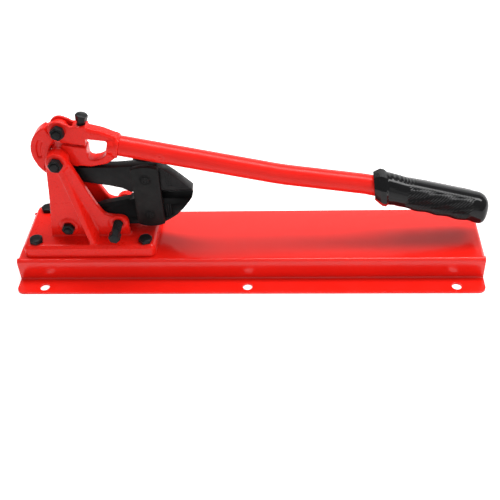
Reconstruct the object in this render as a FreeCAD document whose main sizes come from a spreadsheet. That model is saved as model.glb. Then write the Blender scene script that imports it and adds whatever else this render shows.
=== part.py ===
"""Bench-mounted bolt cutter.

A hat-section steel base carries a cast frame.  The lower jaw is fixed in the frame; the upper
jaw rides on two side plates and is closed by a hand lever through a toggle link.

Row frame, millimetres: +X runs along the base towards the hand grip, +Y away from the nut side
of the frame, +Z up.  The origin is the centre of the bench bolt holes, on the underside.
"""
import FreeCAD, Part
import math
import os
from FreeCAD import Placement, Rotation, Vector

SIZES = {
    # bent sheet base
    "base_length": 600, "base_width": 105.4, "base_height": 33, "sheet": 2.5,
    "bend_outer": 4.5, "bend_inner": 2, "flange_depth": 27, "flange_corner": 10,
    "bench_hole_radius": 6.2, "bench_hole_pitch_x": 264.5, "bench_hole_y": 69,
    "flap_corner_gap": 1.2, "flap_foot": 4.5,
    # cast frame
    "plate_left": -290.4, "plate_right": -118.2, "plate_width": 90.4, "plate_thick": 17.3,
    "plate_bevel": 3.5, "plate_corner": 7, "cheek_inner": 14.4, "cheek_thick": 8,
    "boss_radius": 13.6, "boss_inner": 8.8, "boss_proud": 1.8,
    "lug_radius": 11.5, "pad_radius": 12.5, "pad_proud": 1.5,
    "rib_root": 14.4, "rib_edge": 6.4, "rib_top": 156, "frame_bolt_x_left": -274, "frame_bolt_x_right": -131,
    "frame_bolt_y": 33.4,
    # axes, all parallel to Y
    "lever_axis_x": -227.6, "lever_axis_z": 164.8,
    "link_axis_x": -221.6, "link_axis_z": 200.8,
    "tail_axis_x": -230.5, "tail_axis_z": 136.9,
    "jaw_axis_x": -124, "upper_jaw_axis_z": 132, "lower_jaw_axis_z": 78,
    "anchor_axis_x": -230.3, "anchor_axis_z": 66,
    "clamp_axis_x": -165.4, "clamp_axis_z": 71,
    # jaws and side plates
    "jaw_half": 7, "parting_gap": 0.3, "heel_gap": 0.3, "edge_land": 0.5,
    "nose_x": -67.5, "edge_root_x": -108, "tongue_half": 3.6, "tongue_end_x": -208,
    "pivot_pin_radius": 8, "running_fit": 0.05, "body_gap": 0.3,
    "strap_thick": 7, "strap_width": 35, "strap_height": 92, "strap_arc": 40,
    # toggle link
    "link_half": 8, "link_eye_half": 4.5, "link_outer": 39, "link_inner": 18,
    "link_bow_x": -222.5, "link_bow_z": 170,
    "link_eye_radius": 10.5, "tail_pin_radius": 5, "fork_half_slot": 4,
    "tail_eye_clearance": 1, "tail_drift_x": -3.1, "tail_drift_z": 4.9,
    "groove_outer": 32, "groove_inner": 26.4, "groove_depth": 2.4,
    # hand lever
    "head_half": 8.5, "ear_radius": 12, "lever_eye": 10.5, "fork_slot_half": 4.9, "split_width": 3.4,
    "collar_radius": 13.7, "collar_length": 14, "tube_radius": 12.8, "tube_bore": 10.7,
    "spigot_length": 58, "lever_slope": 13, "rivet_radius": 3,
    "guard_radius": 23.2, "grip_radius": 19.3, "grip_length": 149, "grip_slope": 14.6,
    # fasteners
    "bolt_radius": 5, "bolt_flats": 15.5, "bolt_head": 5.6, "nut_height": 8.2,
    "small_radius": 4, "small_flats": 14.6, "small_head": 5.3, "small_nut": 7,
    "washer_radius": 10, "washer_thick": 2, "clamp_radius": 5.9, "clamp_flats": 13,
    "clamp_head": 12, "clamp_reach": 55.5, "set_flats": 14, "set_head": 9.4,
}

doc = FreeCAD.newDocument("bench_bolt_cutter")
sheet = doc.addObject("Spreadsheet::Sheet", "Sizes")
for row, (alias, value) in enumerate(SIZES.items(), start=1):
    sheet.set(f"A{row}", alias)
    sheet.set(f"B{row}", str(value))
    sheet.setAlias(f"B{row}", alias)
doc.recompute()

NODES = []


def size(alias):
    """A driving dimension, read back from the sheet."""
    return float(sheet.get(alias))


def keep(item, label):
    """Names an object as one of the separate pieces."""
    item.Label = label
    NODES.append(item)
    return item


# ---- plane outlines: every helper gives sketch edges in the sketch's own two axes ----

def flat(u, v):
    return Vector(u, v, 0)


def outline(points):
    """Closed outline through (u, v, corner radius) points."""
    starts, ends, arcs = [], [], []
    for index, (u, v, radius) in enumerate(points):
        corner = flat(u, v)
        before = flat(*points[index - 1][:2]) - corner
        after = flat(*points[(index + 1) % len(points)][:2]) - corner
        before.normalize()
        after.normalize()
        half = math.acos(max(-1.0, min(1.0, before.dot(after)))) / 2
        setback = radius / math.tan(half) if radius else 0
        starts.append(corner + before * setback)
        ends.append(corner + after * setback)
        if radius:
            inward = (before + after).normalize()
            centre = corner + inward * (radius / math.sin(half))
            arcs.append(Part.Arc(starts[-1], centre - inward * radius, ends[-1]))
    edges = arcs
    for index in range(len(points)):
        if (starts[index] - ends[index - 1]).Length > 1e-6:
            edges.append(Part.LineSegment(ends[index - 1], starts[index]))
    return edges


def circle(u, v, radius):
    return [Part.Circle(flat(u, v), Vector(0, 0, 1), radius)]


def belt(circles):
    """Closed outline of a belt round circles (u, v, radius), taken counter-clockwise."""
    normals = []
    for index, (u, v, radius) in enumerate(circles):
        u_next, v_next, r_next = circles[(index + 1) % len(circles)]
        distance = math.hypot(u_next - u, v_next - v)
        heading = math.atan2(v_next - v, u_next - u)
        normals.append(heading - math.acos((radius - r_next) / distance))
    edges = []
    for index, (u, v, radius) in enumerate(circles):
        start, end = normals[index - 1], normals[index]
        while end < start:
            end += 2 * math.pi
        edges.append(Part.ArcOfCircle(Part.Circle(flat(u, v), Vector(0, 0, 1), radius), start, end))
        u_next, v_next, r_next = circles[(index + 1) % len(circles)]
        out = flat(math.cos(end), math.sin(end))
        edges.append(Part.LineSegment(flat(u, v) + out * radius, flat(u_next, v_next) + out * r_next))
    return edges


def ring_sector(u, v, inner, outer, start, end):
    """Closed outline of part of a ring between two angles in degrees."""
    first, last = math.radians(start), math.radians(end)
    centre, up = flat(u, v), Vector(0, 0, 1)

    def at(radius, angle):
        return centre + flat(math.cos(angle), math.sin(angle)) * radius

    return [Part.ArcOfCircle(Part.Circle(centre, up, outer), first, last),
            Part.LineSegment(at(outer, last), at(inner, last)),
            Part.ArcOfCircle(Part.Circle(centre, up, inner), first, last),
            Part.LineSegment(at(inner, first), at(outer, first))]


# ---- PartDesign helpers ----

def new_body(label):
    return keep(doc.addObject("PartDesign::Body", label), label)


def new_sketch(body, role, edges, offset=0.0):
    """A sketch on one of the body's origin planes; XZ looks along +Y, so its normal is -Y."""
    support = [item for item in body.Origin.OriginFeatures if item.Role == role][0]
    sketch = body.newObject("Sketcher::SketchObject", body.Name + "_sketch")
    sketch.AttachmentSupport = (support, [""])
    sketch.MapMode = "FlatFace"
    sketch.AttachmentOffset = Placement(Vector(0, 0, offset), Rotation())
    for edge in edges:
        sketch.addGeometry(edge)
    return sketch


def extrude(kind, body, role, edges, length, offset, side, reverse):
    before = body.Tip.Shape.Volume if body.Tip else 0
    feature = body.newObject("PartDesign::" + kind, body.Name + "_" + kind.lower())
    feature.Profile = new_sketch(body, role, edges, offset)
    feature.SideType = side
    feature.Reversed = reverse
    feature.setExpression("Length", length)
    doc.recompute()
    if feature.Shape.isNull():
        raise RuntimeError(f"{feature.Name}: {feature.State} {feature.getStatusString()}")
    change = feature.Shape.Volume - before
    if (kind == "Pad") != (change > 0) or abs(change) < 1e-3:
        raise RuntimeError(f"{feature.Name} changed the volume by {change:.3f}")
    return feature


def pad(body, role, edges, length, offset=0.0, side="Symmetric", reverse=False):
    return extrude("Pad", body, role, edges, length, offset, side, reverse)


def pocket(body, role, edges, length, offset=0.0, side="Symmetric", reverse=False):
    return extrude("Pocket", body, role, edges, length, offset, side, reverse)


def edges_where(shape, test):
    """Names of the edges of which both ends pass a test."""
    return [f"Edge{number}" for number, edge in enumerate(shape.Edges, start=1)
            if all(test(vertex.Point) for vertex in edge.Vertexes)]


def dress(kind, body, names, amount):
    dressed = body.Tip
    feature = body.newObject("PartDesign::" + kind, body.Name + "_" + kind.lower())
    feature.Base = (dressed, names)
    feature.setExpression("Radius" if kind == "Fillet" else "Size", amount)
    body.Tip = feature
    doc.recompute()
    if not feature.isValid():
        raise RuntimeError(f"{feature.Name}: {feature.getStatusString()}")


# ---- Part primitives for turned and hexagonal pieces; each stands along +Z before placing ----

def cylinder(name, radius, height, base_z=0.0):
    item = doc.addObject("Part::Cylinder", name)
    item.setExpression("Radius", radius)
    item.setExpression("Height", height)
    item.Placement = Placement(Vector(0, 0, base_z), Rotation())
    return item


def hexagon(name, flats, height, base_z=0.0):
    item = doc.addObject("Part::Prism", name)
    item.Polygon = 6
    item.setExpression("Circumradius", f"{flats} / 2 / cos(30 deg)")
    item.setExpression("Height", height)
    item.Placement = Placement(Vector(0, 0, base_z), Rotation())
    return item


def join(kind, name, base, tool):
    item = doc.addObject("Part::" + kind, name)
    item.Base, item.Tool = base, tool
    return item


def hex_bolt(name, radius, flats, head, length):
    """Head on +Z above the seat, shank down -Z from it."""
    shank = cylinder(name + "_shank", radius, length)
    shank.setExpression(".Placement.Base.z", f"-({length})")
    return join("Fuse", name, hexagon(name + "_hex", flats, head), shank)


def hex_nut(name, radius, flats, height):
    return join("Cut", name, hexagon(name + "_hex", flats, height), cylinder(name + "_hole", radius, height))


def tube_piece(name, radius, bore, height):
    return join("Cut", name, cylinder(name + "_outer", radius, height), cylinder(name + "_hole", bore, height))


def group(label, pieces):
    item = doc.addObject("Part::Compound", label)
    item.Links = pieces
    return keep(item, label)


TO_FRONT = Rotation(Vector(1, 0, 0), 90)     # +Z turned to -Y
TO_REAR = Rotation(Vector(1, 0, 0), -90)     # +Z turned to +Y


def place(item, x, y, z, turn=Rotation()):
    item.Placement = Placement(Vector(x, y, z), turn)
    return item


def axis(name):
    return size(name + "_axis_x"), size(name + "_axis_z")


LEVER = axis("lever")
LINK = axis("link")
TAIL = axis("tail")
ANCHOR = axis("anchor")
CLAMP = axis("clamp")
UPPER = (size("jaw_axis_x"), size("upper_jaw_axis_z"))
LOWER = (size("jaw_axis_x"), size("lower_jaw_axis_z"))
BASE_TOP = size("base_height")
PLATE_TOP = BASE_TOP + size("plate_thick")
PARTING = (UPPER[1] + LOWER[1]) / 2
CHEEK_OUTER = size("cheek_inner") + size("cheek_thick")


def frame_bolt_places():
    return [(x, y) for x in (size("frame_bolt_x_left"), size("frame_bolt_x_right"))
            for y in (-size("frame_bolt_y"), size("frame_bolt_y"))]


# ---- base ----

def base_channel():
    """Hat section bent from one sheet, with both ends of the top folded down."""
    body = new_body("base_channel")
    half, height, sheet_t = size("base_width") / 2, BASE_TOP, size("sheet")
    edge, big, small = half + size("flange_depth"), size("bend_outer"), size("bend_inner")
    right = [(edge, 0, 0), (edge, sheet_t, 0), (half, sheet_t, small), (half, height, big)]
    under = [(half - sheet_t, height - sheet_t, small), (half - sheet_t, 0, big)]
    section = right + [(-y, z, r) for y, z, r in reversed(right)]
    section += [(-y, z, r) for y, z, r in reversed(under)] + under
    pad(body, "YZ_Plane", outline(section), "Sizes.base_length")
    for side in (-1, 1):
        fold_end(body, side)
    holes = [circle(x, y, size("bench_hole_radius"))[0]
             for x in (-size("bench_hole_pitch_x"), 0, size("bench_hole_pitch_x"))
             for y in (-size("bench_hole_y"), size("bench_hole_y"))]
    pocket(body, "XY_Plane", holes, "Sizes.sheet * 4")
    bolts = [circle(x, y, size("bolt_radius") + 0.25)[0] for x, y in frame_bolt_places()]
    pocket(body, "XY_Plane", bolts, "Sizes.sheet * 4", offset=height)
    corner = edges_where(body.Tip.Shape, lambda p: abs(p.x) > size("base_length") / 2 - 0.01
                         and abs(p.y) > edge - 0.01)
    upright = [name for name in corner
               if abs(body.Tip.Shape.getElement(name).tangentAt(0).z) > 0.9]
    dress("Fillet", body, upright, "Sizes.flange_corner")


def fold_end(body, side):
    """End flap of the base: hangs from the top sheet, clear of both side walls."""
    reach = size("base_length") / 2
    inside = size("base_width") / 2 - size("bend_outer") - size("flap_corner_gap")
    near, far = sorted((side * (reach - size("sheet")), side * reach))
    flap = [(near, -inside, 0), (far, -inside, 0), (far, inside, 0), (near, inside, 0)]
    pad(body, "XY_Plane", outline(flap), "Sizes.base_height - Sizes.flap_foot",
        offset=size("flap_foot"), side="One side")


# ---- cast frame ----

CHEEK = [(-256.5, 48, 0), (-247.8, 110, 0), (-241.4, 165, 6), (-228, 178, 8), (-214.8, 168, 8),
         (-191, 103.5, 10), (-181.5, 83.5, 12), (-169, 80.8, 14), (-152.6, 80.2, 10),
         (-152.3, 48, 0)]


def frame_casting():
    """Bolted-down plate, two cheeks with lever bosses and clamp lugs, and a rib on each side."""
    body = new_body("frame_casting")
    left, right, half = size("plate_left"), size("plate_right"), size("plate_width") / 2
    corner = size("plate_corner")
    plate = [(left, -half, corner), (right, -half, corner), (right, half, corner), (left, half, corner)]
    pad(body, "XY_Plane", outline(plate), "Sizes.plate_thick", offset=BASE_TOP, side="One side")
    rim = edges_where(body.Tip.Shape, lambda p: abs(p.z - PLATE_TOP) < 0.01)
    dress("Chamfer", body, rim, "Sizes.plate_bevel")
    pad(body, "XZ_Plane", outline(CHEEK), "2 * (Sizes.cheek_inner + Sizes.cheek_thick)")
    gap = [(left, PLATE_TOP, 0), (right, PLATE_TOP, 0), (right, 190, 0), (left, 190, 0)]
    pocket(body, "XZ_Plane", outline(gap), "2 * Sizes.cheek_inner")
    proud = "2 * (Sizes.cheek_inner + Sizes.cheek_thick + Sizes.boss_proud)"
    pad(body, "XZ_Plane", circle(*LEVER, size("boss_radius")), proud)
    pocket(body, "XZ_Plane", circle(*LEVER, size("boss_radius") + 1), "2 * Sizes.boss_inner")
    for side in (-1, 1):
        face_pads(body, side)
        rib(body, side)
    pocket(body, "XZ_Plane", circle(*LEVER, size("bolt_radius") + 0.1), "Sizes.plate_width")
    pocket(body, "XZ_Plane", circle(*ANCHOR, size("small_radius") + 0.1), "Sizes.plate_width")
    pocket(body, "XZ_Plane", circle(*CLAMP, size("clamp_radius") + size("running_fit")),
           "Sizes.cheek_thick + Sizes.pad_proud + 2", offset=size("cheek_inner") - 1, side="One side",
           reverse=True)
    bolts = [circle(x, y, size("bolt_radius") + 0.25)[0] for x, y in frame_bolt_places()]
    pocket(body, "XY_Plane", bolts, "4 * Sizes.plate_thick", offset=BASE_TOP)


def face_pads(body, side):
    """Round pads on a cheek's outer face, round the anchor bolt and the clamp screw."""
    places = [(ANCHOR, size("pad_radius"))] + [(CLAMP, size("lug_radius"))] * (side < 0)
    for place_xz, radius in places:
        pad(body, "XZ_Plane", circle(*place_xz, radius), "Sizes.pad_proud + 2",
            offset=-side * (CHEEK_OUTER - 2), side="One side", reverse=side > 0)


def rib(body, side):
    """Buttress from below the lever boss down to the plate's edge, wider at its foot."""
    root, edge = size("rib_root") / 2, size("rib_edge") / 2
    inner = side * (CHEEK_OUTER - 2)

    def slab(x, reach, z):
        corners = [(x - root, inner), (x + root, inner), (x + edge, reach), (x - edge, reach)]
        return new_sketch(body, "XY_Plane", outline([(u, v, 0) for u, v in corners]), z)

    loft = body.newObject("PartDesign::AdditiveLoft", body.Name + "_rib")
    loft.Profile = slab(-198.3, side * (size("plate_width") / 2 - 3.6), PLATE_TOP - 1)
    loft.Sections = [slab(-225.4, side * (CHEEK_OUTER + 0.8), size("rib_top"))]
    loft.Ruled = True
    body.Tip = loft
    doc.recompute()


def frame_fasteners():
    """Four bolts through the plate and the base top, with washers and nuts inside the base."""
    bolts, washers, nuts = [], [], []
    under = BASE_TOP - size("sheet")
    for count, (x, y) in enumerate(frame_bolt_places(), start=1):
        length = "Sizes.plate_thick + Sizes.sheet + Sizes.washer_thick + Sizes.nut_height + 2"
        bolt = hex_bolt(f"frame_bolt_{count}", "Sizes.bolt_radius", "Sizes.bolt_flats",
                        "Sizes.bolt_head", length)
        bolts.append(place(bolt, x, y, PLATE_TOP))
        washer = tube_piece(f"frame_washer_{count}", "Sizes.washer_radius", "Sizes.bolt_radius + 0.25",
                            "Sizes.washer_thick")
        washers.append(place(washer, x, y, under - size("washer_thick")))
        nut = hex_nut(f"frame_nut_{count}", "Sizes.bolt_radius", "Sizes.bolt_flats", "Sizes.nut_height")
        nuts.append(place(nut, x, y, under - size("washer_thick") - size("nut_height")))
    group("frame_bolts", bolts)
    group("frame_washers", washers)
    group("frame_nuts", nuts)


def cross_bolt(label, where, seat, radius, flats, head, nut_height, tail=2.5):
    """Bolt along Y through the frame: head on the +Y side, nut on the -Y side."""
    nut_size = size(nut_height)
    length = f"2 * {seat} + Sizes.{nut_height} + {tail}"
    bolt = hex_bolt(label + "_bolt_body", "Sizes." + radius, "Sizes." + flats, "Sizes." + head, length)
    keep(place(bolt, where[0], seat, where[1], TO_REAR), label + "_bolt")
    nut = hex_nut(label + "_nut_body", "Sizes." + radius, "Sizes." + flats, "Sizes." + nut_height)
    keep(place(nut, where[0], -seat - nut_size, where[1], TO_REAR), label + "_nut")


def anchor_spacers():
    """Tubes that centre the lower jaw between the cheeks on its anchor bolt."""
    pieces = []
    for side, turn in ((-1, TO_FRONT), (1, TO_REAR)):
        piece = tube_piece(f"spacer_{side + 2}", "Sizes.pad_radius - 4", "Sizes.small_radius + 0.1",
                           "Sizes.cheek_inner - Sizes.jaw_half")
        pieces.append(place(piece, ANCHOR[0], side * size("jaw_half"), ANCHOR[1], turn))
    group("anchor_spacers", pieces)


def clamp_screw(label, side):
    """Side screw through the front cheek's lug; its point stops just short of the lower jaw."""
    start = size("jaw_half") + size("body_gap")
    turn = TO_FRONT if side < 0 else TO_REAR
    shank = cylinder(label + "_shank", "Sizes.clamp_radius",
                     "Sizes.clamp_reach - Sizes.jaw_half - Sizes.body_gap - 1")
    head = hexagon(label + "_head", "Sizes.clamp_flats", "Sizes.clamp_head",
                   size("clamp_reach") - size("clamp_head") - start)
    screw = join("Fuse", label + "_body", shank, head)
    keep(place(screw, CLAMP[0], side * start, CLAMP[1], turn), label)


# ---- jaws ----

def heel_z(axis_z, side, x):
    """Height of a heel arc about a jaw pivot at a given x; side +1 faces up, -1 faces down."""
    radius = (UPPER[1] - LOWER[1] - size("heel_gap")) / 2
    return axis_z + side * math.sqrt(radius ** 2 - (x - size("jaw_axis_x")) ** 2)


def heel_arc(axis_z, side, x_from, x_to):
    radius = (UPPER[1] - LOWER[1] - size("heel_gap")) / 2
    ends = [flat(x, heel_z(axis_z, side, x)) for x in (x_from, x_to)]
    return Part.Arc(ends[0], flat(size("jaw_axis_x"), axis_z + side * radius), ends[1])


def jaw_edges(axis_z, side, rest):
    """Jaw outline: cutting edge, heel arc and the rest of the outline from tail to nose."""
    root, left = size("edge_root_x"), 2 * size("jaw_axis_x") - size("edge_root_x")
    edge_z = PARTING - side * size("parting_gap") / 2
    line = [flat(size("nose_x"), edge_z), flat(root, edge_z), flat(root, heel_z(axis_z, side, root))]
    edges = [Part.LineSegment(a, b) for a, b in zip(line, line[1:])]
    edges.append(heel_arc(axis_z, side, root, left))
    chain = [flat(left, heel_z(axis_z, side, left))] + [flat(u, v) for u, v in rest] + [line[0]]
    return edges + [Part.LineSegment(a, b) for a, b in zip(chain, chain[1:])]


def sharpen(body, side):
    """Bevels both faces of the blade at 45 degrees, leaving a narrow land."""
    land, half = size("edge_land"), size("jaw_half") + 1
    edge_z = PARTING - side * size("parting_gap") / 2
    for face in (-1, 1):
        depth = half - land
        wedge = [(face * land, edge_z + side, 0), (face * half, edge_z + side, 0),
                 (face * half, edge_z - side * depth, 0), (face * land, edge_z, 0)]
        pocket(body, "YZ_Plane", outline(wedge), "50", offset=size("edge_root_x"),
               side="One side", reverse=True)


LOWER_REST = [(-150, 96.5), (-186, 88.5), (-214, 76), (-222, 74), (-238, 74), (-242.5, 66),
              (-238, 55), (-222, 54), (-196, 57), (-112, 58), (-99.6, 65.6), (-90.6, 72),
              (-81.3, 82), (-73.7, 92.3), (-68.6, 100)]
UPPER_REST = [(-147, 108), (-157, 114), (-172, 118), (-205, 124), (-222, 124), (-236, 124),
              (-245, 130), (-247, 142), (-243, 151), (-234, 154), (-222, 151), (-205, 146.5),
              (-160, 146.5), (-141, 148), (-109, 148), (-96.4, 139), (-89, 132.8),
              (-81.6, 125.6), (-71.6, 115.5), (-67.8, 111.6)]


def lower_jaw():
    """Fixed jaw: blade, heel, pivot hole and a tail that reaches back to the anchor bolt."""
    body = new_body("lower_jaw")
    pad(body, "XZ_Plane", jaw_edges(LOWER[1], 1, LOWER_REST), "2 * Sizes.jaw_half")
    sharpen(body, 1)
    holes = circle(*LOWER, size("pivot_pin_radius") + size("running_fit"))
    holes += circle(*ANCHOR, size("small_radius") + 0.1)
    pocket(body, "XZ_Plane", holes, "4 * Sizes.jaw_half")


def upper_jaw():
    """Moving jaw; the tail ends in a thinner tongue with the slotted eye of the link pin."""
    body = new_body("upper_jaw")
    pad(body, "XZ_Plane", jaw_edges(UPPER[1], -1, UPPER_REST), "2 * Sizes.jaw_half")
    sharpen(body, -1)
    pocket(body, "XZ_Plane", circle(*UPPER, size("pivot_pin_radius") + size("running_fit")),
           "4 * Sizes.jaw_half")
    end, low, high, far = size("tongue_end_x"), 110, 165, -260
    tongue = outline([(far, low, 0), (end, low, 0), (end, high, 0), (far, high, 0)])
    for side in (-1, 1):
        pocket(body, "XZ_Plane", tongue, "2 * Sizes.jaw_half", offset=-side * size("tongue_half"),
               side="One side", reverse=side < 0)
    eye = size("tail_pin_radius") + size("tail_eye_clearance")
    drifted = (TAIL[0] + size("tail_drift_x"), TAIL[1] + size("tail_drift_z"))
    pocket(body, "XZ_Plane", belt([(*TAIL, eye), (*drifted, eye)]), "4 * Sizes.jaw_half")


def side_plate(label, side):
    """Strap that ties the two jaw pivots together on one face of the jaws."""
    body = new_body(label)
    half_w, half_h = size("strap_width") / 2, size("strap_height") / 2
    x, rise = size("jaw_axis_x"), size("strap_arc")
    sag = rise - math.sqrt(rise ** 2 - half_w ** 2)
    left, right = x - half_w, x + half_w
    low, high = PARTING - half_h, PARTING + half_h
    edges = [Part.LineSegment(flat(left, low + sag), flat(left, high - sag)),
             Part.LineSegment(flat(right, low + sag), flat(right, high - sag)),
             Part.Arc(flat(left, high - sag), flat(x, high), flat(right, high - sag)),
             Part.Arc(flat(left, low + sag), flat(x, low), flat(right, low + sag))]
    start = size("jaw_half") + size("body_gap")
    pad(body, "XZ_Plane", edges, "Sizes.strap_thick", offset=-side * start, side="One side",
        reverse=side > 0)
    holes = circle(*UPPER, size("pivot_pin_radius")) + circle(*LOWER, size("pivot_pin_radius"))
    pocket(body, "XZ_Plane", holes, "8 * Sizes.strap_thick")


def pivot_pin(label, where):
    pin = cylinder(label + "_body", "Sizes.pivot_pin_radius",
                   "2 * (Sizes.jaw_half + Sizes.body_gap + Sizes.strap_thick)")
    reach = size("jaw_half") + size("body_gap") + size("strap_thick")
    keep(place(pin, where[0], reach, where[1], TO_FRONT), label)


# ---- toggle link ----

def toggle_link():
    """C-shaped casting: thin eye in the lever's fork, grooved rim, fork on the upper jaw's tail."""
    body = new_body("toggle_link")
    mid = (size("link_outer") + size("link_inner")) / 2
    width = size("link_outer") - size("link_inner")
    bow = size("link_bow_x"), size("link_bow_z")
    pad(body, "XZ_Plane", ring_sector(*bow, size("link_inner"), size("link_outer"), 114, 203),
        "2 * Sizes.link_half")
    pad(body, "XZ_Plane", belt([(-246, 148.8, 12.8), (*TAIL, 12.5)]), "2 * Sizes.link_half")
    neck = math.radians(129)
    shoulder = (bow[0] + mid * math.cos(neck), bow[1] + mid * math.sin(neck), width / 2)
    pad(body, "XZ_Plane", belt([shoulder, (*LINK, size("link_eye_radius"))]), "2 * Sizes.link_eye_half")
    for side in (-1, 1):
        groove = ring_sector(*bow, size("groove_inner"), size("groove_outer"), 143, 206)
        pocket(body, "XZ_Plane", groove, "2 * Sizes.groove_depth",
               offset=-side * (size("link_half") - size("groove_depth")), side="One side",
               reverse=side < 0)
    pocket(body, "XZ_Plane", circle(*TAIL, 19), "2 * Sizes.fork_half_slot")
    pocket(body, "XZ_Plane", circle(*LINK, size("bolt_radius") + size("running_fit")),
           "4 * Sizes.link_half")
    pocket(body, "XZ_Plane", circle(*TAIL, size("tail_pin_radius")), "4 * Sizes.link_half")


def tail_pin():
    pin = cylinder("tail_pin_body", "Sizes.tail_pin_radius", "2 * Sizes.link_half")
    keep(place(pin, TAIL[0], size("link_half"), TAIL[1], TO_FRONT), "tail_pin")


# ---- hand lever ----

HEAD = [(-222, 152.5, 0), (-209, 150, 8), (-190, 147.5, 20), (-168, 152.5, 12), (-158.5, 160, 3),
        (-151.5, 187.5, 4), (-155, 191, 3), (-169.4, 198, 20), (-186.2, 203, 4),
        (-188.3, 206.3, 1), (-206, 206.3, 1), (-211.5, 210.6, 4), (-222.4, 212.2, 0)]
WINDOW = [(-191, 188.8, 2), (-164.6, 185, 3), (-165.4, 158, 20), (-192, 158.5, 5)]
SLOPE = math.radians(size("lever_slope"))
ALONG = Vector(math.cos(SLOPE), 0, -math.sin(SLOPE))
ACROSS = Vector(math.sin(SLOPE), 0, math.cos(SLOPE))
COLLAR_END = Vector(-152.5, 0, 174.4)
TUBE_BEND_1 = Vector(45, 0, 0)
TUBE_BEND_2 = Vector(150, 0, 112.6)
TUBE_BEND_1.z = COLLAR_END.z - (TUBE_BEND_1.x - COLLAR_END.x) * math.tan(SLOPE)
GRIP_SLOPE = math.radians(size("grip_slope"))
GRIP_ALONG = Vector(math.cos(GRIP_SLOPE), 0, -math.sin(GRIP_SLOPE))
GRIP_START = TUBE_BEND_2 + GRIP_ALONG * 10.6
SCREW_SEAT = Vector(-194.2, 0, 206.3)


def handle_head():
    """Split casting: fork for the link, eye on the frame bolt, window, collar and tube spigot."""
    body = new_body("handle_head")
    full = "2 * Sizes.head_half"
    pad(body, "XZ_Plane", outline(HEAD), full)
    pad(body, "XZ_Plane", circle(*LEVER, size("lever_eye")), full)
    pad(body, "XZ_Plane", circle(*LINK, size("ear_radius")), full)
    pocket(body, "XZ_Plane", outline(WINDOW), "4 * Sizes.head_half")
    half = size("split_width") / 2
    split = [(-245, 187), (-190, 177.5)]
    cut = [(split[0][0], split[0][1] - half, 0), (split[1][0], split[1][1] - half, 0),
           (split[1][0], split[1][1] + half, 0), (split[0][0], split[0][1] + half, 0)]
    pocket(body, "XZ_Plane", outline(cut), "4 * Sizes.head_half")
    slot = outline([(-240, 186, 0), (-204.5, 186, 0), (-204.5, 220, 0), (-240, 220, 0)])
    pocket(body, "XZ_Plane", slot, "2 * Sizes.fork_slot_half")
    turned(body, "collar", COLLAR_END - ALONG * size("collar_length"), "Sizes.collar_radius",
           "Sizes.collar_length")
    turned(body, "spigot", COLLAR_END - ALONG, "Sizes.tube_bore", "Sizes.spigot_length + 1")
    holes = circle(*LEVER, size("bolt_radius") + size("running_fit")) + circle(*LINK, size("bolt_radius"))
    pocket(body, "XZ_Plane", holes, "4 * Sizes.head_half")
    rivet = COLLAR_END + ALONG * (size("spigot_length") - 6)
    pocket(body, "XZ_Plane", circle(rivet.x, rivet.z, size("rivet_radius")), "4 * Sizes.head_half")
    drill(body, SCREW_SEAT + ACROSS * 5, size("bolt_radius") + size("running_fit"), 32)


def turned(body, name, start, radius, height):
    """Round boss of the head along the tube's axis."""
    item = body.newObject("PartDesign::AdditiveCylinder", body.Name + "_" + name)
    item.setExpression("Radius", radius)
    item.setExpression("Height", height)
    item.Placement = Placement(start, Rotation(Vector(0, 0, 1), ALONG))
    body.Tip = item
    doc.recompute()


def drill(body, start, radius, depth):
    """Threaded hole of the adjusting screw, down into the split."""
    item = body.newObject("PartDesign::SubtractiveCylinder", body.Name + "_drill")
    item.Radius = radius
    item.Height = depth
    item.Placement = Placement(start, Rotation(Vector(0, 0, 1), ACROSS * -1))
    body.Tip = item
    doc.recompute()


def adjusting_screw():
    """Spreads the split head; its point stops just short of the lower limb."""
    neck = 4.6
    head = hexagon("adjusting_head", "Sizes.set_flats", "Sizes.set_head", neck)
    shank = cylinder("adjusting_shank", "Sizes.bolt_radius", "26.2 + 5", -26.2)
    screw = join("Fuse", "adjusting_body", shank, head)
    screw.Placement = Placement(SCREW_SEAT, Rotation(Vector(0, 0, 1), ACROSS))
    keep(screw, "adjusting_screw")


def bent_path(points, radii):
    """Wire of straight runs joined by tangent arcs."""
    edges, last = [], points[0]
    for corner, after, radius in zip(points[1:-1], points[2:], radii):
        back, ahead = (last - corner).normalize(), (after - corner).normalize()
        half = back.getAngle(ahead) / 2
        setback = radius / math.tan(half)
        inward = (back + ahead).normalize()
        middle = corner + inward * (radius / math.sin(half) - radius)
        edges.append(Part.LineSegment(last, corner + back * setback).toShape())
        edges.append(Part.Arc(corner + back * setback, middle, corner + ahead * setback).toShape())
        last = corner + ahead * setback
    edges.append(Part.LineSegment(last, points[-1]).toShape())
    return Part.Wire(edges)


def handle_tube():
    """Steel tube on the head's spigot, bent twice, running on inside the grip."""
    end = GRIP_START + GRIP_ALONG * (size("grip_length") - 14)
    path = bent_path([COLLAR_END, TUBE_BEND_1, TUBE_BEND_2, end], [400, 60])
    solids = []
    for radius in (size("tube_radius"), size("tube_bore")):
        ring = Part.Wire(Part.Circle(COLLAR_END, ALONG, radius).toShape())
        solids.append(path.makePipeShell([ring], True, False))
    wall = solids[0].cut(solids[1])
    rivet = COLLAR_END + ALONG * (size("spigot_length") - 6)
    hole = Part.makeCylinder(size("rivet_radius"), 60, Vector(rivet.x, -30, rivet.z), Vector(0, 1, 0))
    item = doc.addObject("Part::Feature", "handle_tube")
    item.Shape = wall.cut(hole)
    keep(item, "handle_tube")
    print(f"tube volume {item.Shape.Volume:.0f}, path {path.Length:.1f}")


def handle_rivet():
    rivet = COLLAR_END + ALONG * (size("spigot_length") - 6)
    pin = cylinder("rivet_body", "Sizes.rivet_radius", "2 * Sizes.tube_radius")
    keep(place(pin, rivet.x, size("tube_radius"), rivet.z, TO_FRONT), "handle_rivet")


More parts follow.
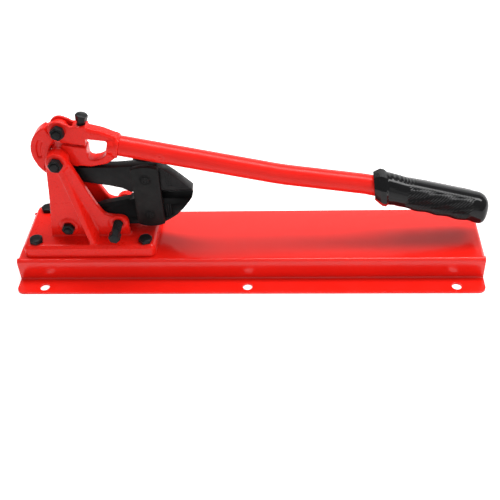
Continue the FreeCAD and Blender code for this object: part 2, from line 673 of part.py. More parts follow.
def hand_grip():
    """Moulded grip with a flared guard, pushed over the tube's end."""
    body = new_body("hand_grip")
    bore, barrel, guard = size("tube_radius"), size("grip_radius"), size("guard_radius")
    length = size("grip_length")
    profile = [(0, bore, 0), (0, 17.4, 1), (9.5, guard, 2), (13, guard, 1), (17.5, barrel - 0.5, 2),
               (45, barrel + 1, 60), (100, barrel, 60), (length - 8, barrel + 0.6, 6),
               (length, barrel - 6, 6), (length, 0, 0), (length - 14, 0, 0), (length - 14, bore, 0)]
    turn = body.newObject("PartDesign::Revolution", "hand_grip_turn")
    turn.Profile = new_sketch(body, "XZ_Plane", outline(profile))
    turn.ReferenceAxis = (turn.Profile[0], ["H_Axis"])
    turn.Angle = 360
    body.Tip = turn
    body.Placement = Placement(GRIP_START, Rotation(Vector(0, 1, 0), size("grip_slope")))
    doc.recompute()


def build():
    base_channel()
    frame_casting()
    frame_fasteners()
    cross_bolt("lever_pivot", LEVER, CHEEK_OUTER + size("boss_proud"), "bolt_radius", "bolt_flats",
               "bolt_head", "nut_height")
    cross_bolt("anchor", ANCHOR, CHEEK_OUTER + size("pad_proud"), "small_radius", "small_flats",
               "small_head", "small_nut")
    anchor_spacers()
    lower_jaw()
    clamp_screw("front_clamp_screw", -1)
    upper_jaw()
    side_plate("front_side_plate", -1)
    side_plate("rear_side_plate", 1)
    pivot_pin("upper_jaw_pin", UPPER)
    pivot_pin("lower_jaw_pin", LOWER)
    toggle_link()
    tail_pin()
    handle_head()
    cross_bolt("link", LINK, size("head_half"), "bolt_radius", "bolt_flats", "bolt_head",
               "nut_height", tail=2)
    adjusting_screw()
    handle_tube()
    handle_rivet()
    hand_grip()


def write():
    """Checks every object, then writes one STEP file per piece."""
    doc.recompute()
    for item in doc.Objects:
        if {"Invalid", "Error"} & set(item.State):
            raise RuntimeError(f"{item.Name} is {item.State}")
    os.makedirs("parts", exist_ok=True)
    for item in NODES:
        shape = item.Shape
        if shape.isNull() or not shape.isValid() or not shape.Solids:
            raise RuntimeError(f"{item.Label} has no valid shape")
        shape.exportStep(f"parts/{item.Label}.step")
        print(f"{item.Label:20s} solids {len(shape.Solids)} volume {shape.Volume / 1000:8.2f} cm3")


build()
write()
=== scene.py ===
"""Looks of the bench-mounted bolt cutter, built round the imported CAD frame.

Shapes are written in millimetres in the row frame: +X towards the hand grip, +Y away from the
nut side, +Z up.  They are scaled to metres when a mesh is made.
"""
import math

import bmesh
import bpy
from mathutils import Matrix, Vector


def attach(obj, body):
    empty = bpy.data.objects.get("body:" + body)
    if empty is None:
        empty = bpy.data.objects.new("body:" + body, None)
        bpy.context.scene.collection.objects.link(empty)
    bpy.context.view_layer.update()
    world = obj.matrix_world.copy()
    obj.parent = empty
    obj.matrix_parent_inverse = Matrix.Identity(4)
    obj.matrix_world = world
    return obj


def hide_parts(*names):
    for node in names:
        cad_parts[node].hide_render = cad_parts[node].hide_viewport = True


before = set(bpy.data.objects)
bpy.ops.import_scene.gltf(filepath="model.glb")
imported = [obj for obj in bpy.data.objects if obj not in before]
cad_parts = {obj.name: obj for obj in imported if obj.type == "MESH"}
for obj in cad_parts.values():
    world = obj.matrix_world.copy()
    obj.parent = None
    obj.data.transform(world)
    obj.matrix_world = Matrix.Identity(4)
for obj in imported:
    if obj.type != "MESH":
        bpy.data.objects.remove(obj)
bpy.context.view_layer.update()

MM = 0.001
LEVER = (-227.6, 164.8)
LINK = (-221.6, 200.8)
TAIL = (-230.5, 136.9)
LINK_BOW = (-222.5, 170.0)
ANCHOR = (-230.3, 66.0)
CLAMP = (-165.4, 71.0)
UPPER = (-124.0, 132.0)
LOWER = (-124.0, 78.0)
CHEEK = 22.4
TUBE_OUTER = 12.8
TUBE_BORE = 10.7
PLATE_TOP = 50.3
HEAD_HALF = 8.5
JAW_HALF = 7.0
STRAP_IN, STRAP_OUT = 7.3, 14.3
M10, M10_FLATS, M10_HEAD, M10_NUT, M10_PITCH = 5.0, 15.5, 5.6, 8.2, 1.5
M8, M8_FLATS, M8_HEAD, M8_NUT, M8_PITCH = 4.0, 14.6, 5.3, 7.0, 1.25
GRIP_LENGTH = 149.0
GUARD = 23.2
FRONT = Vector((0, -1, 0))
REAR = Vector((0, 1, 0))


# ---------------------------------------------------------------- meshes

def make(name, shells, sharp=35):
    """One object from (vertices, faces) shells, smooth except across sharp angles."""
    verts, faces = [], []
    for shell_verts, shell_faces in shells:
        start = len(verts)
        verts += [Vector(v) * MM for v in shell_verts]
        faces += [[start + i for i in face] for face in shell_faces]
    data = bpy.data.meshes.new(name)
    data.from_pydata(verts, [], faces)
    obj = bpy.data.objects.new(name, data)
    bpy.context.scene.collection.objects.link(obj)
    clean(obj, sharp)
    return obj


def clean(obj, sharp=35, dissolve=0.0):
    """Welds, turns normals outwards and marks sharp edges."""
    bm = bmesh.new()
    bm.from_mesh(obj.data)
    bmesh.ops.remove_doubles(bm, verts=bm.verts, dist=2e-6)
    if dissolve:
        bmesh.ops.dissolve_limit(bm, angle_limit=math.radians(dissolve), verts=bm.verts,
                                 edges=bm.edges)
    bmesh.ops.recalc_face_normals(bm, faces=bm.faces)
    bm.to_mesh(obj.data)
    bm.free()
    obj.data.shade_smooth()
    obj.data.set_sharp_from_angle(angle=math.radians(sharp))


def settle(obj, sharp=35):
    """Applies the object's modifiers."""
    bpy.context.view_layer.update()
    graph = bpy.context.evaluated_depsgraph_get()
    data = bpy.data.meshes.new_from_object(obj.evaluated_get(graph))
    obj.modifiers.clear()
    obj.data = data
    data.shade_smooth()
    data.set_sharp_from_angle(angle=math.radians(sharp))


def bevel(obj, width, segments=2, angle=30):
    """Rounds the edges that are sharper than an angle; the width is in millimetres."""
    mod = obj.modifiers.new("bevel", "BEVEL")
    mod.width = width * MM
    mod.segments = segments
    mod.limit_method = "ANGLE"
    mod.angle_limit = math.radians(angle)
    mod.use_clamp_overlap = True
    settle(obj)


def carve(obj, shells):
    """Cuts closed shells out of an object."""
    if not shells:
        return
    cutter = make("cutter", shells)
    mod = obj.modifiers.new("carve", "BOOLEAN")
    mod.object = cutter
    mod.operation = "DIFFERENCE"
    mod.solver = "EXACT"
    mod.use_self = True
    settle(obj)
    bpy.data.objects.remove(cutter)


def copy_node(name, node, dissolve=0.5):
    """A new object with a CAD node's shape."""
    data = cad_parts[node].data.copy()
    data.materials.clear()
    obj = bpy.data.objects.new(name, data)
    bpy.context.scene.collection.objects.link(obj)
    clean(obj, dissolve=dissolve)
    return obj


def cast(name, node, voxel, passes, extra=(), cuts=()):
    """Casting: a CAD node's shape with its edges and corners rounded as the mould leaves them."""
    obj = copy_node(name, node)
    carve(obj, list(cuts))
    if extra:
        added = make("added", list(extra))
        joined = bmesh.new()
        joined.from_mesh(obj.data)
        joined.from_mesh(added.data)
        joined.to_mesh(obj.data)
        joined.free()
        bpy.data.objects.remove(added)
    remesh = obj.modifiers.new("remesh", "REMESH")
    remesh.mode = "VOXEL"
    remesh.voxel_size = voxel * MM
    smooth = obj.modifiers.new("smooth", "SMOOTH")
    smooth.factor = 0.5
    smooth.iterations = passes
    settle(obj, sharp=180)
    return obj


def loft(rings, closed=False, caps=True):
    """Skin over rings of equally many points."""
    count = len(rings[0])
    faces = []
    for index in range(len(rings) if closed else len(rings) - 1):
        a, b = index * count, (index + 1) % len(rings) * count
        faces += [(a + i, a + (i + 1) % count, b + (i + 1) % count, b + i) for i in range(count)]
    if caps and not closed:
        faces.append(tuple(range(count)))
        faces.append(tuple((len(rings) - 1) * count + i for i in range(count)))
    return [p for ring in rings for p in ring], faces


def ring(radius, z, count=40, flats=None):
    """Circle at height z, or a hexagon of that width across flats cut down to the circle."""
    points = []
    for i in range(count):
        angle = 2 * math.pi * i / count
        reach = radius
        if flats:
            off = (angle + math.pi / 6) % (math.pi / 3) - math.pi / 6
            reach = min(radius, flats / 2 / math.cos(off))
        points.append((reach * math.cos(angle), reach * math.sin(angle), z))
    return points


def placed(shell, origin, direction, spin=0.0):
    """Turns a shell's Z onto a direction and moves it."""
    direction = Vector(direction)
    turn = direction.to_track_quat("Z", "Y").to_matrix()
    turn = turn @ Matrix.Rotation(math.radians(spin), 3, "Z")
    return [Vector(origin) + turn @ Vector(v) for v in shell[0]], shell[1]


def prism(points, low, high):
    """Outline of (x, z) points drawn from y=low to y=high."""
    return loft([[(x, low, z) for x, z in points], [(x, high, z) for x, z in points]])


def chamfer_cut(a, b, inward, size, face, side, overrun=3.0, depth=None):
    """Wedge that takes the corner off the edge from a to b on the face at |y|=face."""
    depth = depth or size
    start, end = Vector((a[0], 0, a[1])), Vector((b[0], 0, b[1]))
    along = (end - start).normalized()
    across = Vector((-along.z, 0, along.x))
    if across.dot(Vector((inward[0], 0, inward[1]))) < 0:
        across = -across
    rings = []
    for point in (start - along * overrun, end + along * overrun):
        rings.append([point + across * u + Vector((0, side * (face + v), 0))
                      for u, v in ((size + size / depth, 1), (-1, 1), (-1, -depth - depth / size))])
    return loft(rings)


def hex_head(flats, height, dome=0.3):
    """Hexagon head with a washer face below and its corners chamfered on top."""
    corner, face = flats / 2 / math.cos(math.pi / 6), 0.47 * flats
    drop = (corner - face) * 0.62
    rings = [ring(face, 0, 72), ring(face, 0.4, 72), ring(corner, 0.4, 72, flats)]
    for step in range(6):
        share = step / 5
        rings.append(ring(corner + (face - corner) * share, height - drop + drop * share, 72,
                          flats))
    rings += [ring(face * share, height + dome * (1 - share * share), 72)
              for share in (0.75, 0.4, 0.1)]
    return loft(rings)


def hex_nut(flats, height, bore):
    """Nut chamfered on both faces, with a countersunk hole."""
    corner, face = flats / 2 / math.cos(math.pi / 6), 0.47 * flats
    drop = (corner - face) * 0.62
    outer = []
    for step in range(5):
        share = step / 4
        outer.append(ring(face + (corner - face) * share, drop * share, 72, flats))
    outer += [[(x, y, height - z) for x, y, z in points] for points in reversed(outer)]
    inner = [ring(bore + 0.9, height, 72), ring(bore, height - 0.9, 72), ring(bore, 0.9, 72),
             ring(bore + 0.9, 0, 72)]
    return loft(outer + inner, closed=True)


def thread(radius, start, end, pitch, tip=1.2, count=32):
    """Threaded rod from start to end with a bevelled, slightly domed tip."""
    rings = []
    steps = max(2, int((end - tip - start) / pitch * 7))
    for step in range(steps + 1):
        z = start + (end - tip - start) * step / steps
        points = []
        for i in range(count):
            angle = 2 * math.pi * i / count
            wave = abs((z / pitch - i / count) % 1.0 * 2 - 1)
            reach = radius - 0.55 * pitch * (1 - wave) ** 1.2
            points.append((reach * math.cos(angle), reach * math.sin(angle), z))
        rings.append(points)
    rings += [ring(radius - 0.6 * pitch, end - tip * 0.9, count),
              ring(radius * 0.72, end - 0.2, count), ring(radius * 0.4, end, count),
              ring(radius * 0.1, end + 0.1, count)]
    return loft(rings)


def rod(radius, start, end, soften=0.5, count=40):
    """Plain pin with bevelled ends."""
    return loft([ring(radius - soften, start, count), ring(radius, start + soften, count),
                 ring(radius, end - soften, count), ring(radius - soften, end, count)])


# ---------------------------------------------------------------- materials

def new_material(name, color, roughness, metallic=0.0, coat=0.0, coat_roughness=0.1,
                 specular=0.5):
    """Principled material with its plain values set on the shader's own sockets."""
    mat = bpy.data.materials.new(name)
    mat.use_nodes = True
    shader = mat.node_tree.nodes["Principled BSDF"]
    shader.inputs["Base Color"].default_value = (*color, 1)
    shader.inputs["Roughness"].default_value = roughness
    shader.inputs["Metallic"].default_value = metallic
    shader.inputs["Coat Weight"].default_value = coat
    shader.inputs["Coat Roughness"].default_value = coat_roughness
    shader.inputs["Specular IOR Level"].default_value = specular
    return mat


def node(mat, kind, **values):
    """Adds a shader node and sets its sockets or properties by name."""
    item = mat.node_tree.nodes.new(kind)
    for name, value in values.items():
        label = name.replace("_", " ").title()
        if label in item.inputs:
            item.inputs[label].default_value = value
        else:
            setattr(item, name, value)
    return item


def link(mat, source, target):
    """Joins two sockets."""
    mat.node_tree.links.new(source, target)


def noise(mat, scale, detail=3.0, roughness=0.5, stretch=(1, 1, 1)):
    """Noise fixed to the object, drawn out along the axes with a small stretch value."""
    place = node(mat, "ShaderNodeTexCoord")
    mapping = node(mat, "ShaderNodeMapping")
    mapping.inputs["Scale"].default_value = stretch
    texture = node(mat, "ShaderNodeTexNoise", scale=scale, detail=detail, roughness=roughness)
    link(mat, place.outputs["Object"], mapping.inputs["Vector"])
    link(mat, mapping.outputs["Vector"], texture.inputs["Vector"])
    return texture.outputs["Fac"]


def spread(mat, value, low, high, from_low=0.3, from_high=0.7):
    """Maps a texture value onto a range of numbers."""
    item = node(mat, "ShaderNodeMapRange")
    limits = (("From Min", from_low), ("From Max", from_high), ("To Min", low), ("To Max", high))
    for name, number in limits:
        item.inputs[name].default_value = number
    link(mat, value, item.inputs["Value"])
    return item.outputs["Result"]


def tint(mat, value, low, high, from_low=0.3, from_high=0.7):
    """Colours the surface between two colours by a texture value."""
    ramp = node(mat, "ShaderNodeValToRGB")
    ramp.color_ramp.elements[0].position = from_low
    ramp.color_ramp.elements[1].position = from_high
    ramp.color_ramp.elements[0].color = (*low, 1)
    ramp.color_ramp.elements[1].color = (*high, 1)
    link(mat, value, ramp.inputs["Fac"])
    return ramp.outputs["Color"]


def socket(mat, name):
    """An input of the material's shader."""
    return mat.node_tree.nodes["Principled BSDF"].inputs[name]


def relief(mat, layers):
    """Bump from (texture value, depth in mm, strength) layers."""
    normal = None
    for value, depth, strength in layers:
        bump = node(mat, "ShaderNodeBump", strength=strength, distance=depth * MM)
        link(mat, value, bump.inputs["Height"])
        if normal:
            link(mat, normal, bump.inputs["Normal"])
        normal = bump.outputs["Normal"]
    link(mat, normal, socket(mat, "Normal"))


RED = (0.82, 0.0125, 0.0065)
RED_DEEP = (0.75, 0.0105, 0.0055)


def sheet_paint():
    """Gloss paint on flat sheet: fine orange peel over very shallow waves."""
    mat = new_material("sheet_paint", RED, 0.2, coat=0.12, coat_roughness=0.1, specular=0.34)
    link(mat, tint(mat, noise(mat, 9), RED_DEEP, RED), socket(mat, "Base Color"))
    link(mat, spread(mat, noise(mat, 40), 0.17, 0.25), socket(mat, "Roughness"))
    relief(mat, [(noise(mat, 420, 2), 0.02, 0.5), (noise(mat, 18, 1), 0.25, 0.35)])
    return mat


def cast_paint():
    """Gloss paint over sand-cast skin: pits and lumps show through."""
    mat = new_material("cast_paint", RED, 0.3, coat=0.16, coat_roughness=0.09, specular=0.14)
    pits = noise(mat, 650, 4, 0.6)
    link(mat, tint(mat, pits, (0.72, 0.010, 0.0055), RED, 0.33, 0.55), socket(mat, "Base Color"))
    link(mat, spread(mat, noise(mat, 130), 0.24, 0.42), socket(mat, "Roughness"))
    relief(mat, [(pits, 0.25, 0.4), (noise(mat, 150, 2), 0.5, 0.4)])
    return mat


def tube_paint():
    """Gloss paint on drawn tube, with faint lengthwise draw lines."""
    mat = new_material("tube_paint", RED, 0.22, coat=0.06, coat_roughness=0.16, specular=0.2)
    lines = noise(mat, 260, 2, 0.5, stretch=(0.06, 1, 1))
    link(mat, tint(mat, noise(mat, 16), RED_DEEP, RED), socket(mat, "Base Color"))
    link(mat, spread(mat, lines, 0.28, 0.4), socket(mat, "Roughness"))
    relief(mat, [(lines, 0.06, 0.5), (noise(mat, 400, 2), 0.02, 0.4)])
    return mat


def black_steel(name, low, high, rough_low, rough_high, grain, depth):
    """Black oxide on steel: cloudy tone and fine surface grain."""
    mat = new_material(name, high, rough_low, metallic=0.15, specular=0.14)
    link(mat, tint(mat, noise(mat, grain * 0.3, 4, 0.6), low, high), socket(mat, "Base Color"))
    link(mat, spread(mat, noise(mat, grain, 3), rough_low, rough_high), socket(mat, "Roughness"))
    relief(mat, [(noise(mat, grain * 2.4, 3, 0.6), depth, 0.5)])
    return mat


def blade_steel():
    """Blackened forged jaw steel, with fine grinding lines across the faces."""
    mat = new_material("blade_steel", (0.011, 0.011, 0.0115), 0.36, metallic=0.15, specular=0.14)
    lines = noise(mat, 900, 2, 0.5, stretch=(1, 1, 0.05))
    link(mat, tint(mat, noise(mat, 60, 4, 0.6), (0.006, 0.006, 0.0065), (0.013, 0.013, 0.0135)),
         socket(mat, "Base Color"))
    link(mat, spread(mat, noise(mat, 170), 0.3, 0.46), socket(mat, "Roughness"))
    relief(mat, [(lines, 0.03, 0.5), (noise(mat, 500, 3), 0.05, 0.4)])
    return mat


def grip_vinyl():
    """Glossy dipped vinyl."""
    mat = new_material("grip_vinyl", (0.004, 0.004, 0.0044), 0.12, coat=0.2, coat_roughness=0.04,
                       specular=0.14)
    link(mat, tint(mat, noise(mat, 50, 3), (0.0035, 0.0035, 0.0039), (0.006, 0.006, 0.0066)),
         socket(mat, "Base Color"))
    link(mat, spread(mat, noise(mat, 120), 0.1, 0.18), socket(mat, "Roughness"))
    relief(mat, [(noise(mat, 600, 2), 0.02, 0.35)])
    return mat


def zinc():
    """Bright zinc plate with a cloudy tone."""
    mat = new_material("zinc_plate", (0.55, 0.55, 0.53), 0.35, metallic=1.0)
    link(mat, tint(mat, noise(mat, 180, 3), (0.42, 0.42, 0.40), (0.62, 0.62, 0.6)),
         socket(mat, "Base Color"))
    link(mat, spread(mat, noise(mat, 300), 0.28, 0.45), socket(mat, "Roughness"))
    return mat


SHEET = sheet_paint()
CAST = cast_paint()
TUBE = tube_paint()
BLADE = blade_steel()
STRAP = black_steel("strap_steel", (0.006, 0.006, 0.0062), (0.013, 0.013, 0.0128),
                    0.34, 0.5, 220, 0.05)
OXIDE = black_steel("black_oxide", (0.006, 0.006, 0.0065), (0.014, 0.014, 0.015),
                    0.28, 0.42, 300, 0.03)
VINYL = grip_vinyl()
ZINC = zinc()


def show(obj, material, body, slot, *nodes):
    """Gives a finished piece its material and body, and hides the CAD nodes it stands for; the slot
    is not used.
    """
    obj.data.materials.clear()
    obj.data.materials.append(material)
    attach(obj, body)
    if nodes:
        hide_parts(*nodes)


# ---------------------------------------------------------------- base

def arc(cx, cz, radius, start, end, steps):
    """Points on an arc, angles in degrees."""
    return [(cx + radius * math.cos(math.radians(start + (end - start) * i / steps)),
             cz + radius * math.sin(math.radians(start + (end - start) * i / steps)))
            for i in range(steps + 1)]


def base_sheet():
    """Folded sheet: hat section with both ends of its top bent down."""
    half, height, thick, edge, reach = 52.7, 33.0, 2.5, 79.8, 300.0
    bend, flap_half, corner, margin = 4.5, 47.0, 10.0, 11
    hole_radius, hole_x, hole_y = 6.2, 264.5, 69
    side = [(0.0, height), (16.0, height), (32.0, height), (flap_half, height)]
    side += arc(half - bend, height - bend, bend, 90, 0, 8)[1:]
    side += [(half, 19.0), (half, 9.0)] + arc(half + 2, thick + 2, 2.0, 180, 270, 6)
    side += [(62.0, thick)] + [(edge - corner + corner * math.sin(math.radians(a)), thick)
                               for a in range(0, 91, 10)]
    section = [(-y, z) for y, z in reversed(side[1:])] + side
    inner = [-reach + margin + (2 * reach - 2 * margin) * i / 40 for i in range(41)]
    verts, faces, index = [], [], {}

    def vert(x, y, z):
        """Number of the vertex at a point, shared by all faces that meet there."""
        key = (round(x, 4), round(y, 4), round(z, 4))
        if key not in index:
            index[key] = len(verts)
            verts.append(key)
        return index[key]

    def end_x(y):
        """Length of the sheet at y: its flange corners are rounded."""
        past = abs(y) - (edge - corner)
        return reach - corner + math.sqrt(max(corner ** 2 - past ** 2, 0)) if past > 0 else reach

    def strip(rows):
        """Faces between rows of points, leaving out sides of no length."""
        for near, far in zip(rows, rows[1:]):
            for a, b, c, d in zip(near, near[1:], far[1:], far):
                corners = []
                for point in (a, b, c, d):
                    number = vert(*point)
                    if number not in corners:
                        corners.append(number)
                if len(corners) > 2:
                    faces.append(corners)

    strip([[(x, y, z) for y, z in section] for x in inner])
    flap = arc(reach - bend, height - bend, bend, 90, 0, 8) + [(reach, 18.0), (reach, 4.5)]
    for sign in (-1, 1):
        start = sign * (reach - margin)
        top = [(y, z) for y, z in section if abs(y) <= flap_half]
        rows = [[(start, y, z) for y, z in top], [(sign * (reach - bend), y, z) for y, z in top]]
        rows += [[(sign * x, y, z) for y, _ in top] for x, z in flap[1:]]
        strip(rows)
        for keep in (lambda y: y >= flap_half, lambda y: y <= -flap_half):
            part = [(y, z) for y, z in section if keep(y)]
            strip([[(start, y, z) for y, z in part],
                   [(sign * min(reach - bend, end_x(y)), y, z) for y, z in part],
                   [(sign * end_x(y), y, z) for y, z in part]])
    obj = make("base_sheet", [(verts, faces)])
    bm = bmesh.new()
    bm.from_mesh(obj.data)
    top_face = max(bm.faces, key=lambda f: f.calc_center_median().z)
    if top_face.normal.z < 0:
        bmesh.ops.reverse_faces(bm, faces=bm.faces)
    bm.to_mesh(obj.data)
    bm.free()
    solid = obj.modifiers.new("thickness", "SOLIDIFY")
    solid.thickness = thick * MM
    solid.offset = -1
    solid.use_even_offset = True
    settle(obj)
    bore = loft([ring(hole_radius, -10, 40), ring(hole_radius, 10, 40)])
    holes = [placed(bore, (x, y, 0), (0, 0, 1))
             for x in (-hole_x, 0, hole_x) for y in (-hole_y, hole_y)]
    carve(obj, holes)
    bevel(obj, 0.35, 2, 50)
    show(obj, SHEET, "bench", "red_paint", "base_channel")


# ---------------------------------------------------------------- castings

def frame_cast():
    """Frame: softened casting with raised rings round its holes and a fuller lug at the rear."""
    extra = []
    for side, face in ((-1, FRONT), (1, REAR)):
        extra.append(placed(loft([ring(12.6, 0), ring(12.6, 3.0), ring(11.6, 4.0)]),
                            (LEVER[0], side * (CHEEK - 1), LEVER[1]), face))
        extra.append(placed(loft([ring(12.3, 0), ring(12.3, 2.6), ring(11.2, 3.6)]),
                            (ANCHOR[0], side * (CHEEK - 1), ANCHOR[1]), face))
    rear_lug = loft([ring(13.0, 0), ring(13.0, 8.6), ring(12.0, 9.6)])
    extra.append(placed(rear_lug, (-161.5, CHEEK - 1.5, 72), REAR))
    obj = cast("frame_cast", "frame_casting", 1.1, 6, extra)
    for x, z in (LEVER, ANCHOR):
        carve(obj, [placed(loft([ring(5.1, -60), ring(5.1, 60)]), (x, 0, z), FRONT)])
    show(obj, CAST, "bench", "red_casting", "frame_casting")


SLOPE = math.radians(13)
ALONG = Vector((math.cos(SLOPE), 0, -math.sin(SLOPE)))
ACROSS = Vector((math.sin(SLOPE), 0, math.cos(SLOPE)))
COLLAR_END = Vector((-152.5, 0, 174.4))
SCREW_SEAT = Vector((-194.2, 0, 206.3))


def section_loft(stations, power=3.0, count=40):
    """Skin over superellipse sections (distance along the tube, half width, half height, lift)."""
    rings = []
    for distance, half_y, half_z, lift in stations:
        middle = COLLAR_END + ALONG * distance + ACROSS * lift
        points = []
        for i in range(count):
            a = 2 * math.pi * i / count
            c, s = math.cos(a), math.sin(a)
            u = math.copysign(abs(c) ** (2 / power), c) * half_y
            v = math.copysign(abs(s) ** (2 / power), s) * half_z
            points.append(middle + Vector((0, u, 0)) + ACROSS * v)
        rings.append(points)
    return loft(rings)


def head_cast():
    """Split head of the lever, swelling into the collar; its long limb is well rounded."""
    cuts = []
    for side in (-1, 1):
        limb = [(-187, 203.2), (-169.4, 198), (-154.5, 190.5)]
        for a, b in zip(limb, limb[1:]):
            cuts.append(chamfer_cut(a, b, (0, -1), 3.4, HEAD_HALF, side, 0.5, 2.8))
        belly = [(-205, 149.5), (-190, 148), (-170, 152), (-159, 159)]
        for a, b in zip(belly, belly[1:]):
            cuts.append(chamfer_cut(a, b, (0, 1), 2.2, HEAD_HALF, side, 1.0))
    collar = section_loft([(-9.5, 8.4, 13.6, -0.5), (-7.5, 11.4, 14.0, -0.5),
                           (-4, 13.4, 14.2, -0.5), (-1.2, 14.0, 14.1, -0.5),
                           (0, 13.4, 13.5, -0.5)])
    lower_jaw_end = [(-233, 168), (-233, 178.6), (-221, 176.8), (-221, 168)]
    extra = [collar, prism(lower_jaw_end, -HEAD_HALF, HEAD_HALF)]
    for face in (FRONT, REAR):
        ear = loft([ring(12.9, 5.1), ring(12.9, HEAD_HALF)])
        extra.append(placed(ear, (LINK[0], 0, LINK[1]), face))
    obj = cast("head_cast", "handle_head", 0.9, 6, extra, cuts)
    split = [(-243, 185.0), (-190.6, 176.0), (-190.6, 178.9), (-243, 187.9)]
    carve(obj, [prism(split, -9.5, 9.5)])
    show(obj, CAST, "handle", "red_casting", "handle_head")


def link_cast():
    """Toggle link: fuller inner edge and outer corner, and grooves run on into the tail."""
    inner = arc(*LINK_BOW, 15.6, 122, 182, 8)
    outer = arc(*LINK_BOW, 19.5, 182, 122, 8)
    corner = [(-257, 154), (-260.4, 161), (-240, 165), (-247.5, 151.5), (-251.2, 142), (-254, 146)]
    outside = [(-262.5, 158), (-259.6, 157), (-256.2, 149), (-250.5, 141.5), (-246, 138),
               (-246, 133), (-262.5, 133)]
    groove = [(-251.5, 159), (-246.2, 156.5), (-241.8, 142), (-246.8, 140.4)]
    cuts = [prism(groove, low, high) for low, high in ((-9, -5.6), (5.6, 9))]
    cuts.append(prism(outside, -9, 9))
    extra = [prism(inner + outer, -8, 8), prism(corner, -8, 8)]
    obj = cast("link_cast", "toggle_link", 0.9, 5, extra, cuts)
    show(obj, CAST, "toggle_link", "red_casting", "toggle_link")


# ---------------------------------------------------------------- jaws

def jaw(name, node_name, body, side_z, edges, grooves):
    """Forged jaw: chamfered tail and marking grooves on the blade faces."""
    obj = copy_node(name, node_name)
    cuts = []
    for side in (-1, 1):
        cuts += [chamfer_cut(a, b, (0, side_z), size, JAW_HALF, side, 0.5, depth)
                 for a, b, size, depth in edges]
        for x, low, high in grooves:
            box = [(x - 0.55, low), (x + 0.55, low), (x + 0.55, high), (x - 0.55, high)]
            inner, outer = sorted((side * 6.3, side * 8.0))
            cuts.append(prism(box, inner, outer))
    for cut in cuts:
        carve(obj, [cut])
    bevel(obj, 0.4, 2, 32)
    show(obj, BLADE, body, "blade_steel", node_name)


def jaws():
    """Fixed lower jaw and moving upper jaw, with their chamfered edges and marking grooves."""
    lower_edges = [((-150, 96.5), (-186, 88.5), 4.6, 2.6), ((-186, 88.5), (-214, 76), 4.6, 2.6)]
    lower_grooves = [(-104.0, 68.5, 88.5), (-101.0, 68.5, 88.5), (-98.0, 72.0, 88.5)]
    jaw("fixed_jaw", "lower_jaw", "bench", -1, lower_edges, lower_grooves)
    upper_edges = [((-157, 114), (-172, 118), 2.4, 1.6), ((-172, 118), (-205, 124), 2.4, 1.6),
                   ((-147, 108), (-157, 114), 2.4, 1.6)]
    upper_grooves = [(-99.5, 121.0, 140.0), (-96.5, 117.5, 138.0), (-93.5, 117.5, 135.5)]
    jaw("moving_jaw", "upper_jaw", "upper_jaw", 1, upper_edges, upper_grooves)


def straps():
    """Two side plates, and the pins with their peened ends."""
    middle, top, bottom, half_width, crown = UPPER[0], 151, 59, 17.5, 40
    half = math.degrees(math.asin(half_width / crown))
    outline = arc(middle, top - crown, crown, 90 + half, 90 - half, 10)
    outline += arc(middle, bottom + crown, crown, 270 + half, 270 - half, 10)
    for side, name, node_name in ((-1, "near_strap", "front_side_plate"),
                                  (1, "far_strap", "rear_side_plate")):
        low, high = sorted((side * STRAP_IN, side * STRAP_OUT))
        obj = make(name, [prism(outline, low, high)])
        bevel(obj, 0.9, 3, 40)
        show(obj, STRAP, "side_plates", "plate_steel", node_name)
    for name, node_name, (x, z) in (("top_pin", "upper_jaw_pin", UPPER),
                                    ("low_pin", "lower_jaw_pin", LOWER)):
        obj = make(name, [placed(rod(8.0, -STRAP_OUT, STRAP_OUT, 0.15), (x, 0, z), REAR),
                          placed(rod(4.7, -14.9, 14.9, 0.4), (x, 0, z), REAR)])
        marks = []
        for side in (-1, 1):
            for k in range(4):
                a = math.radians(45 + 90 * k)
                spot = (x + 2.6 * math.cos(a), side * 15.1, z + 2.6 * math.sin(a))
                marks.append(placed(loft([ring(1.1, -0.9, 12), ring(1.1, 0.9, 12)]), spot, REAR))
        carve(obj, marks)
        show(obj, STRAP, "side_plates", "plate_steel", node_name)


# ---------------------------------------------------------------- fasteners

def cross_bolt(name, where, seat, radius, flats, head, nut, tail, pitch, body, bolt_node,
               nut_node, spin=0.0):
    """Bolt along Y with its head at the rear and a nut in front."""
    x, z = where
    tip = seat + nut + tail
    shells = [placed(hex_head(flats, head), (x, seat, z), REAR, spin),
              placed(rod(radius, -seat, seat + 0.5, 0.2), (x, 0, z), FRONT),
              placed(thread(radius, seat - 1, tip, pitch), (x, 0, z), FRONT)]
    show(make(name, shells), OXIDE, body, "black_hardware", bolt_node)
    ring_nut = placed(hex_nut(flats, nut, radius), (x, -seat, z), FRONT, spin + 11)
    show(make(name + "_lock", [ring_nut]), OXIDE, body, "black_hardware", nut_node)


